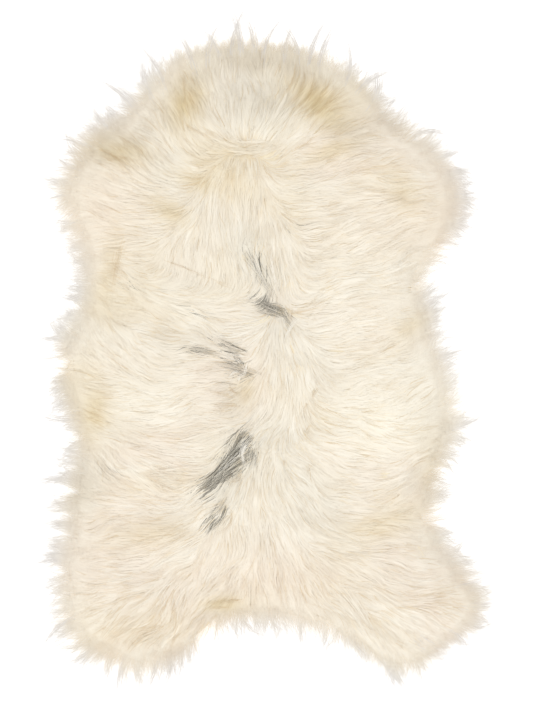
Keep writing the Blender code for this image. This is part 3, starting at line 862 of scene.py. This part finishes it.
def curled(flat, lengths, phases, coat, locks):
    """The strands in the waves of their lock, and in small ones of their own."""
    each, count = coat.strands, len(flat)
    wave = np.repeat(chance.uniform(*coat.curl, locks), each)
    pitch = np.repeat(chance.uniform(*LOCK_WAVE_PITCH, locks), each)
    phase = np.repeat(chance.random(locks), each) + chance.normal(0, LOCK_WAVE_SLIP, count)
    flat = waved(flat, lengths, wave, pitch, phase)
    pitch = chance.uniform(*STRAND_WAVE_PITCH, count)
    return waved(flat, lengths, np.full(count, STRAND_WAVE), pitch, phases)


def loose_places(count):
    """Places spread over the hide."""
    places = body_roots(LOOSE_PITCH, 0.0)
    return places[chance.permutation(len(places))[:count]]


def creased_places(count):
    """Places on the hide, most of them where it is creased."""
    places = body_roots(CREVICE_PITCH, -CREVICE_REACH)
    share = np.maximum(patch_strength(CREASED, places), UNCREASED)
    return places[chance.choice(len(places), count, replace=False, p=share / share.sum())]


def single_hairs(hairs, places):
    """Single hairs that start at the places, each with a turn of its own."""
    count = len(places)
    lengths = chance.uniform(*hairs.lengths, count)
    turns = chance.normal(0, hairs.sway, count)
    stops = chance.uniform(*HAIR_STOP, count)
    points, ends = ways(places, lengths, turns, np.zeros(count), stops)
    flat = waved(
        kept_way(points, ends), lengths * ends,
        chance.uniform(*HAIR_WAVE, count), chance.uniform(*HAIR_WAVE_PITCH, count),
        chance.random(count),
    )
    arch = np.sin(math.pi * (ARCH_START + ARCH_RUN * SHARES[None]))
    rise = chance.uniform(*hairs.lift, (count, 1)) * arch
    tone = chance.normal(0, 1, count)
    widths = chance.uniform(*hairs.widths, count)
    return Strands(lying(flat, rise), widths, tone, np.full(count, DYE_NUMBER[hairs.dye]))


def tuft_strands(tuft):
    """The strands of one tuft, which start side by side and come together along a bend."""
    count, length = round(TUFT_FULLNESS * tuft.strands), tuft.length * PIXEL
    dye = DYES[DYE_NUMBER[tuft.dye]]
    lengths = length * chance.uniform(dye.least, LONGEST, count)
    behind = chance.uniform(*TUFT_START, count) * lengths
    run = (lengths + behind)[:, None] * SHARES[None] - behind[:, None]
    middle = (run[:, 1:] + run[:, :-1]) / 2
    angles = tuft.turn + tuft.bend * np.clip(middle / length, 0, LONGEST_BEND)
    steps = np.diff(run, axis=1)[..., None] * heading(angles)
    start = (place_of(tuft.x, tuft.y) - behind[:, None] * heading(tuft.turn))[:, None]
    line = np.concatenate([start, start + np.cumsum(steps, axis=1)], axis=1)
    side = heading(np.concatenate([angles[:, :1], angles], axis=1) + 90)
    across = chance.normal(0, TUFT_SPREAD * tuft.width * PIXEL, count)[:, None]
    across = across * (1 - dye.gather * smoothstep(*TUFT_GATHERED, SHARES)[None])
    across = across + chance.normal(0, dye.scatter, (count, 1)) * SHARES[None] ** 2
    flat = waved(
        line + across[..., None] * side, lengths + behind,
        chance.uniform(*TUFT_WAVE, count), chance.uniform(*TUFT_WAVE_PITCH, count),
        chance.random(count),
    )
    rise = dye.lift + chance.uniform(*TUFT_LIFT, (count, 1))
    widths = chance.uniform(*dye.widths, count)
    tone = chance.normal(*TUFT_TONE, count)
    return Strands(lying(flat, rise), widths, tone, np.full(count, DYE_NUMBER[tuft.dye]))


# --- colours, in linear light ---

IVORY = np.array([0.870, 0.800, 0.672])
CREAM = np.array([0.894, 0.848, 0.745])
ROSY = np.array([0.870, 0.780, 0.662])
ASH = np.array([0.695, 0.675, 0.658])
ROOT = np.array([0.850, 0.700, 0.440])
TINTS = {
    "peach": np.array([0.845, 0.745, 0.615]),
    "cool": np.array([0.800, 0.760, 0.660]),
    "milk": np.array([0.955, 0.910, 0.790]),
    # The butter tint is the wool's own yellow and also painted shade in the creases and beside the
    # mane.
    "butter_and_shade": np.array([0.740, 0.610, 0.365]),
    # The beige tint is painted shade.
    "painted_shade": np.array([0.690, 0.615, 0.490]),
}
WHITEST = 0.96

# A dye is a colour that some tufts and hairs have, of their wool, save the brown and the dark
# yellow ones, which are painted shade in creases and under curls and wisps: what share of their
# strands takes it, how fully, how wide the strands are, how far they lie over the others, how far
# their tips come together and scatter, and the shortest strand's share of the tuft's length.
Dye = namedtuple("Dye", "name colour share depth widths lift gather scatter least")
DYES = [Dye(*row) for row in (
    ("none", (0, 0, 0), 0.0, (0.0, 0.0), (0.0008, 0.0016), 0.0, 0.7, 0.0022, 0.60),
    ("pale", (0.72, 0.69, 0.665), 0.8, (0.2, 0.9), (0.0005, 0.0010), 0.0, 0.25, 0.0036, 0.50),
    ("black", (0.075, 0.068, 0.050), 0.74, (0.38, 0.95), (0.0003, 0.0009), 0.0022, 0.7, 0.0022, 0.60),
    ("grey", (0.14, 0.13, 0.105), 0.60, (0.25, 0.75), (0.0003, 0.0007), 0.0018, 0.6, 0.0022, 0.55),
    ("white", (0.95, 0.92, 0.85), 1.0, (0.5, 1.0), (0.0003, 0.0007), 0.0032, 0.7, 0.0022, 0.60),
    # Brown strands that paint shadow under curls and wisps and in creases.
    ("brown_shadow", (0.50, 0.34, 0.15), 0.60, (0.2, 0.7), (0.0003, 0.0006), 0.0018, 0.7, 0.0022, 0.60),
    # Dark yellow strands put in the creases as painted shade.
    ("crease_shade", (0.64, 0.47, 0.24), 1.0, (0.10, 0.60), (0.0004, 0.0009), 0.0004, 0.6, 0.0022, 0.55),
)]
DYE_NUMBER = {dye.name: number for number, dye in enumerate(DYES)}
CHARCOAL = np.array(DYES[DYE_NUMBER["black"]].colour)

ROSY_SIZE, BUTTER_SIZE = 0.045, 0.028
ROSY_CLOUD = cloud(ROSY_SIZE)
BUTTER_CLOUD = cloud(BUTTER_SIZE)
OWN_TONE = 0.6  # share of a strand's own tone in it, the rest being that of the streaks
MOST_ROSY, MOST_BUTTER, MOST_ROOT = 0.8, 0.10, 0.55
ROSY_FROM_TO = (-0.5, 1.5)  # values of its cloud between which the wool turns rosy
CREAM_FROM_TO = (-1.0, 2.5)  # tones between which it turns from ivory to cream
EVEN_TINT = 0.65  # share of a tint that every strand takes, the rest being by its tone
TINT_FROM_TO = (1.6, -1.5)  # tones from which a strand takes more of a tint, and all of it
ROOT_COLOURED = 0.32  # share of a strand's length, from its root
MOST_TONE = 2
ASHEN = (0.35, 1.05)  # shares of the rim's reach between which the wool turns ashen
MOST_ASHEN, ASHEN_BY_TONE = 0.85, 0.15
TONE_BRIGHTNESS = 0.012
CHARCOAL_DEPTH = (0.5, 0.95)
CHARCOAL_LOSS = 0.05  # by which the strength of a dark patch is lowered
CHARCOAL_FROM_TO = (-0.10, 0.12)  # of what is left of it past a strand's own threshold


def mixed(first, second, share):
    return first + np.clip(share, 0, 1)[..., None] * (second - first)


def wool_colours(strands):
    """A colour for each point of each strand."""
    flat = strands.points[..., :2]
    whole = np.ones(flat.shape[:2])
    tone = OWN_TONE * strands.tone[:, None] * whole + (1 - OWN_TONE) * read(STREAKS, flat)
    colour = np.broadcast_to(IVORY, (*flat.shape[:2], 3))
    colour = mixed(colour, ROSY, MOST_ROSY * smoothstep(*ROSY_FROM_TO, read(ROSY_CLOUD, flat)))
    colour = mixed(colour, CREAM, smoothstep(*CREAM_FROM_TO, tone))
    butter_and_shade = MOST_BUTTER * np.maximum(read(BUTTER_CLOUD, flat), 0)
    colour = mixed(colour, TINTS["butter_and_shade"], butter_and_shade)
    ashen = MOST_ASHEN - ASHEN_BY_TONE * np.clip(strands.tone, -1, 1)[:, None]
    colour = mixed(
        colour, ASH, ashen * smoothstep(*ASHEN, read(PAST_EDGE, flat) / read(REACH, flat)))
    # The beige tint laid on here is painted shade, and the butter tint is painted shade in part.
    for tint, patches in TINTED_PATCHES.items():
        taken = EVEN_TINT + (1 - EVEN_TINT) * smoothstep(*TINT_FROM_TO, tone)
        share = patch_strength(patches, flat) * taken
        colour = mixed(colour, TINTS[tint], share)
    rooted = MOST_ROOT * (1 - smoothstep(0, ROOT_COLOURED, SHARES))[None]
    colour = mixed(colour, ROOT, rooted * whole)
    colour = colour * (1 + TONE_BRIGHTNESS * np.clip(tone, -MOST_TONE, MOST_TONE))[..., None]
    return np.clip(dyed(colour, strands, flat, whole), 0, WHITEST)


def dyed(colour, strands, flat, whole):
    """The colours with charcoal strands in the dark patches, and with the dyes of the tufts and hairs,
    whose brown and dark yellow are painted shade.
    """
    threshold = chance.random((len(flat), 1))
    depth = chance.uniform(*CHARCOAL_DEPTH, (len(flat), 1))
    plain = (strands.dye == 0)[:, None]
    past = patch_strength(DARK_PATCHES, flat) - threshold - CHARCOAL_LOSS
    colour = mixed(colour, CHARCOAL, plain * (depth * smoothstep(*CHARCOAL_FROM_TO, past)))
    for number, dye in enumerate(DYES):
        takes = (strands.dye == number) & (chance.random(len(flat)) < dye.share)
        depth = chance.uniform(*dye.depth, len(flat))
        colour = mixed(colour, np.array(dye.colour), (takes * depth)[:, None] * whole)
    return colour


# --- strands as meshes ---

COLOUR_LAYER, STRAND_MAP, BAKE_MAP = "wool_colour", "strand", "OFBake"
MAP_STEP, MAP_SCATTER = 1.7, 50  # set the strands apart in the map of their fibres


def placed(name, data):
    """A new object of that data in the scene."""
    obj = bpy.data.objects.new(name, data)
    bpy.context.scene.collection.objects.link(obj)
    return obj


def ribbons(strands):
    """Corners and normals of flat tapering ribbons, two corners a point.

    The normals lean from the ribbon's own towards the surface of the wool, and out to both
    sides, so that a ribbon takes the light as a round and soft strand does.
    """
    points = strands.points
    tangent = unit(np.gradient(points, axis=1))
    fleece = read(SURFACE_NORMAL, points[..., :2])
    side = unit(np.cross(tangent, fleece))
    up = np.cross(side, tangent)
    roll = chance.normal(0, ROLL, (len(points), 1)) + chance.normal(0, ROLL, (len(points), 1)) * SHARES
    roll = np.clip(roll, -MOST_ROLL, MOST_ROLL)[..., None]
    across = side * np.cos(roll) + up * np.sin(roll)
    facing = up * np.cos(roll) - side * np.sin(roll)
    taper = TAPER + TAPER_OF_WIDTH * strands.widths[:, None]
    widening = ROOT_WIDTH + (1 - ROOT_WIDTH) * smoothstep(0, WIDEST_FROM, SHARES)
    profile = widening * (1 - SHARES**taper)
    half = (strands.widths[:, None] / 2 * profile)[..., None]
    corners = np.stack([points - across * half, points + across * half], axis=2)
    corners[..., 2] = np.maximum(corners[..., 2], FLOOR_CLEARANCE / 2)
    soft = unit(NORMAL_SHARE * facing + (1 - NORMAL_SHARE) * fleece)
    normals = unit(np.stack([soft - NORMAL_SPLAY * across, soft + NORMAL_SPLAY * across], axis=2))
    return corners, normals


def strand_faces(count):
    """Corner numbers of the quads and of the last triangle of that many ribbons."""
    first = (np.arange(count) * (2 * SEGMENTS + 1))[:, None]
    step = 2 * np.arange(SEGMENTS - 1)[None]
    quads = np.stack([first + step, first + step + 1, first + step + 3, first + step + 2], axis=-1)
    last = first[:, 0] + 2 * (SEGMENTS - 1)
    return quads.reshape(-1, 4), np.stack([last, last + 1, last + 2], axis=-1)


def new_mesh(name, corners, quads, triangles):
    mesh = bpy.data.meshes.new(name)
    mesh.vertices.add(len(corners))
    mesh.vertices.foreach_set("co", np.ascontiguousarray(corners, np.float32).ravel())
    loops = np.concatenate([quads.ravel(), triangles.ravel()]).astype(np.int32)
    sizes = np.concatenate([np.full(len(quads), 4), np.full(len(triangles), 3)])
    starts = (np.cumsum(sizes) - sizes).astype(np.int32)
    mesh.loops.add(len(loops))
    mesh.loops.foreach_set("vertex_index", loops)
    mesh.polygons.add(len(sizes))
    mesh.polygons.foreach_set("loop_start", starts)
    mesh.update(calc_edges=True)
    mesh.polygons.foreach_set("use_smooth", np.ones(len(sizes), bool))
    return mesh, loops


def bake_cells(count):
    """For each strand, the corner and size of a cell of its own in the unit square."""
    columns = math.ceil(math.sqrt(4 * count))
    rows = math.ceil(count / columns)
    number = np.arange(count)
    corner = np.stack([number % columns / columns, number // columns / rows], axis=-1)
    return corner, np.array([1 / columns, 1 / rows])


def add_maps(mesh, loops, count, each):
    """A map that runs along each strand, and one to bake to with a cell for each strand."""
    across = np.array([0.1, 0.9] * SEGMENTS + [0.5])
    along = np.repeat(0.05 + 0.9 * SHARES, 2)[:each]
    corner, size = bake_cells(count)
    bake = corner[:, None] + np.stack([across, along], axis=-1)[None] * size
    own = np.stack([
        across[None] + np.arange(count)[:, None] * MAP_STEP,
        along[None] + chance.random((count, 1)) * MAP_SCATTER,
    ], axis=-1)
    for name, values in ((STRAND_MAP, own), (BAKE_MAP, bake)):
        layer = mesh.uv_layers.new(name=name)
        layer.uv.foreach_set("vector", values.reshape(-1, 2)[loops].astype(np.float32).ravel())


def strand_object(name, strands, material):
    """A mesh of the strands, with their colours, their normals and two maps."""
    count, each = len(strands.points), 2 * SEGMENTS + 1
    corners, normals = (values.reshape(count, -1, 3)[:, :each] for values in ribbons(strands))
    corners[:, -1] = strands.points[:, -1]
    mesh, loops = new_mesh(name, corners.reshape(-1, 3), *strand_faces(count))
    add_maps(mesh, loops, count, each)
    colours = np.repeat(wool_colours(strands), 2, axis=1)[:, :each].reshape(-1, 3)
    shade = mesh.color_attributes.new(COLOUR_LAYER, "FLOAT_COLOR", "POINT")
    rgba = np.concatenate([colours, np.ones((len(colours), 1))], axis=1)
    shade.data.foreach_set("color", rgba.astype(np.float32).ravel())
    mesh.normals_split_custom_set_from_vertices(normals.reshape(-1, 3).astype(np.float32))
    mesh.materials.append(material)
    return placed(name, mesh)


def joined(parts):
    return Strands(*(np.concatenate(values) for values in zip(*parts)))


def shared_out(strands):
    """The strands in six pieces of like size: neck, back and rump, left and right."""
    roots = strands.points[:, 0]
    bands = np.array_split(np.argsort(-roots[:, 1]), 3)
    pieces = {}
    for band, which in zip(("neck", "back", "rump"), bands):
        halves = np.array_split(which[np.argsort(roots[which, 0])], 2)
        for side, half in zip(("left", "right"), halves):
            pieces[f"wool_{band}_{side}"] = Strands(*(values[np.sort(half)] for values in strands))
    return pieces


# --- materials ---

UNDERCOAT_TONES = ((0.86, 0.76, 0.56), (0.91, 0.83, 0.65))
SUEDE_TONES = ((0.70, 0.61, 0.48), (0.82, 0.74, 0.62))


def set_inputs(node, inputs):
    for name, value in inputs.items():
        node.inputs[name.replace("_", " ")].default_value = value


def new_material(name, **inputs):
    """A material, and its shader with these of its inputs set."""
    material = bpy.data.materials.new(name)
    material.use_nodes = True
    shader = material.node_tree.nodes["Principled BSDF"]
    set_inputs(shader, inputs)
    return material, shader


def new_node(material, kind, **inputs):
    node = material.node_tree.nodes.new("ShaderNode" + kind)
    set_inputs(node, inputs)
    return node


def link(material, *rows):
    """Links from a node's output to another node's input, a row for each."""
    for source, output, target, socket in rows:
        material.node_tree.links.new(source.outputs[output], target.inputs[socket])


def wool_material():
    """Strands coloured by their own attribute, with fine fibres along them."""
    material, shader = new_material(
        "wool_strands", Roughness=0.55, Specular_IOR_Level=0.25, Sheen_Weight=0.15,
        Sheen_Roughness=0.5)
    colour = new_node(material, "Attribute")
    colour.attribute_name = COLOUR_LAYER
    place = new_node(material, "UVMap")
    place.uv_map = STRAND_MAP
    stretch = new_node(material, "Mapping", Scale=(3.0, 0.6, 1.0))
    fibres = new_node(material, "TexNoise", Scale=1.0, Detail=2.0)
    fibres.noise_dimensions = "2D"
    tint = new_node(material, "MapRange", From_Min=0.3, From_Max=0.7, To_Min=0.97, To_Max=1.02)
    shaded = new_node(material, "VectorMath")
    shaded.operation = "SCALE"
    link(
        material,
        (place, "UV", stretch, "Vector"),
        (stretch, "Vector", fibres, "Vector"),
        (fibres, "Fac", tint, "Value"),
        (colour, "Color", shaded, 0),
        (tint, "Result", shaded, "Scale"),
        (shaded, "Vector", shader, "Base Color"),
    )
    return material


def mottle(material, shader, scale, tones, relief, depth):
    """Colour between two tones by noise in the piece's own space, and a bump from it."""
    place = new_node(material, "TexCoord")
    noise = new_node(material, "TexNoise", Scale=scale, Detail=8.0, Roughness=0.65)
    ramp = new_node(material, "ValToRGB")
    for element, share, tone in zip(ramp.color_ramp.elements, (0.3, 0.7), tones):
        element.position = share
        element.color = (*tone, 1)
    bump = new_node(material, "Bump", Strength=relief, Distance=depth)
    link(
        material,
        (place, "Object", noise, "Vector"),
        (noise, "Fac", ramp, "Fac"),
        (ramp, "Color", shader, "Base Color"),
        (noise, "Fac", bump, "Height"),
        (bump, "Normal", shader, "Normal"),
    )


def undercoat_material():
    material, shader = new_material("wool_undercoat", Roughness=0.9)
    mottle(material, shader, 120, UNDERCOAT_TONES, relief=0.6, depth=0.003)
    return material


def suede_material():
    material, shader = new_material("hide_suede", Roughness=0.85, Sheen_Weight=0.3)
    mottle(material, shader, 60, SUEDE_TONES, relief=0.3, depth=0.0006)
    return material


# --- the hide and the undercoat ---

HIDE_PITCH = 0.020
UNDERCOAT_PITCH = 0.0070
UNDERCOAT_END = 0.30  # of the rim's reach
UNDERCOAT_SINK = 0.0015  # how far it lies under the surface of the wool
UNDERCOAT_LUMPS = 0.0003
UNDERCOAT_LEAST_HEIGHT = 0.0045
UNDERCOAT_OVER_HIDE, UNDERCOAT_OVER_FLOOR = 0.0003, 0.0006
HIDE_MARGIN = 0.001
LEAST_INSET = 0.7  # of the inner places from the ring, in shares of their pitch


def slab(name, ring, inner, low_heights, high_heights, material):
    """A closed slab between two heights over the same points, the ring's first."""
    places = [Vector(point) for point in np.vstack([ring, inner])]
    count, total = len(ring), len(places)
    sides = [(i, (i + 1) % count) for i in range(count)]
    _, _, faces, sources, _, _ = geometry.delaunay_2d_cdt(places, sides, [], 1, 1e-7)
    faces = [[sources[corner][0] for corner in face] for face in faces]
    corners = [(*place, z) for place, z in zip(places * 2, [*low_heights, *high_heights])]
    made = [face[::-1] for face in faces]
    made += [[corner + total for corner in face] for face in faces]
    made += [[i, j, j + total, i + total] for i, j in sides]
    mesh = bpy.data.meshes.new(name)
    mesh.from_pydata(corners, [], made)
    mesh.polygons.foreach_set("use_smooth", np.ones(len(made), bool))
    mesh.set_sharp_from_angle(angle=math.radians(60))
    mesh.materials.append(material)
    return placed(name, mesh)


def places_inside(pitch, share):
    """Even places at least most of a pitch in from that share of the rim's reach."""
    places = hexagonal(pitch)
    limit = share * read(REACH, places) - LEAST_INSET * pitch
    return places[read(PAST_EDGE, places) < limit]


def hide():
    inner = places_inside(HIDE_PITCH, 0.0)
    count = len(HIDE_EDGE) + len(inner)
    low, high = np.zeros(count), np.full(count, HIDE_THICKNESS)
    return slab("hide", HIDE_EDGE, inner, low, high, suede_material())


def undercoat():
    """Dense wool under the strands, a lumpy slab on the hide that ends inside the fringe."""
    index = np.arange(0, len(EDGE_POINTS), 2)
    reach = (UNDERCOAT_END * EDGE_REACH[index])[:, None]
    ring = EDGE_POINTS[index] + EDGE_OUTWARD[index] * reach
    inner = places_inside(UNDERCOAT_PITCH, UNDERCOAT_END)
    places = np.vstack([ring, inner])
    high = read(LIE, places) - UNDERCOAT_SINK + UNDERCOAT_LUMPS * read(LAYER, places)
    high = np.maximum(high, UNDERCOAT_LEAST_HEIGHT)
    over_hide = read(PAST_EDGE, places) < HIDE_MARGIN
    low = np.where(over_hide, HIDE_THICKNESS + UNDERCOAT_OVER_HIDE, UNDERCOAT_OVER_FLOOR)
    return slab("wool_undercoat", ring, inner, low, high, undercoat_material())


# --- floor, light and camera ---

FLOOR_HALF, FLOOR_DROP = 4.0, 0.0005
FLOOR_GLOW = 0.2  # makes the floor as white as the photograph's background
SKY_STRENGTH = 0.955
SUN_STRENGTH, SUN_WIDTH, SUN_COLOUR, SUN_AIM = 0.70, 80, (1.0, 0.985, 0.96), (0.15, 0.35, -1.0)
LENS, SENSOR = 135.0, 36.0  # millimetres
WOOL_BOUNCES = 16  # light goes on for longer in pale wool than Blender's own 4


def floor():
    mesh = bpy.data.meshes.new("floor")
    signs = ((-1, -1), (1, -1), (1, 1), (-1, 1))
    corners = [(FLOOR_HALF * x, FLOOR_HALF * y, -FLOOR_DROP) for x, y in signs]
    mesh.from_pydata(corners, [], [(0, 1, 2, 3)])
    material, _ = new_material(
        "floor_white", Roughness=0.9, Base_Color=(0.93, 0.93, 0.93, 1), Specular_IOR_Level=0.1,
        Emission_Color=(1, 1, 1, 1), Emission_Strength=FLOOR_GLOW)
    mesh.materials.append(material)
    obj = placed("floor", mesh)


def lights():
    world = bpy.data.worlds.new("studio")
    world.use_nodes = True
    set_inputs(world.node_tree.nodes["Background"], {"Color": (1, 1, 1, 1), "Strength": SKY_STRENGTH})
    bpy.context.scene.world = world
    lamp = bpy.data.lights.new("window", "SUN")
    lamp.energy = SUN_STRENGTH
    lamp.angle = math.radians(SUN_WIDTH)
    lamp.color = SUN_COLOUR
    window = placed("window", lamp)
    window.rotation_euler = Vector(SUN_AIM).to_track_quat("-Z", "Y").to_euler()


def camera():
    """Straight above, so that the photograph's pixels lie a constant PIXEL apart on the floor."""
    scene = bpy.context.scene
    data = bpy.data.cameras.new("camera")
    data.lens, data.sensor_width = LENS, SENSOR
    eye = placed("camera", data)
    middle = place_of(PHOTO_SIZE[0] / 2, PHOTO_SIZE[1] / 2)
    eye.location = (middle[0], middle[1], PHOTO_SIZE[1] * PIXEL * LENS / SENSOR)
    scene.camera = eye
    scene.view_settings.view_transform = "Standard"
    scene.cycles.max_bounces = WOOL_BOUNCES
    scene.cycles.diffuse_bounces = WOOL_BOUNCES


# --- putting it together ---

def fleece():
    """Every strand of the wool."""
    return joined([
        grown(DEEP_COAT, body_roots(DEEP_PITCH, 0.0)),
        grown(BODY_COAT, body_roots(BODY_PITCH, BODY_INSET)),
        grown(RIM_COAT, rim_roots(RIM_PITCH)),
        grown(LOCK_COAT, outer_lock_roots()),
        grown(WISP_COAT, rim_roots(WISP_PITCH)),
        single_hairs(LOOSE_HAIRS, loose_places(LOOSE_HAIRS.count)),
        single_hairs(CREVICE_HAIRS, creased_places(CREVICE_HAIRS.count)),
        *(tuft_strands(Tuft(*row)) for rows in TUFTS.values() for row in rows),
    ])


def plain(box):
    """The corners of the box as plain lists of numbers."""
    return [[float(value) for value in corner] for corner in box]


floor()
lights()
camera()

wool_look = wool_material()
wool = [strand_object(name, part, wool_look) for name, part in shared_out(fleece()).items()]
wool.append(undercoat())
for piece in wool:
    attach(piece, "root")

skin = hide()
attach(skin, "root")
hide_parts(NODE)
for piece in wool:
    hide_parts(NODE)
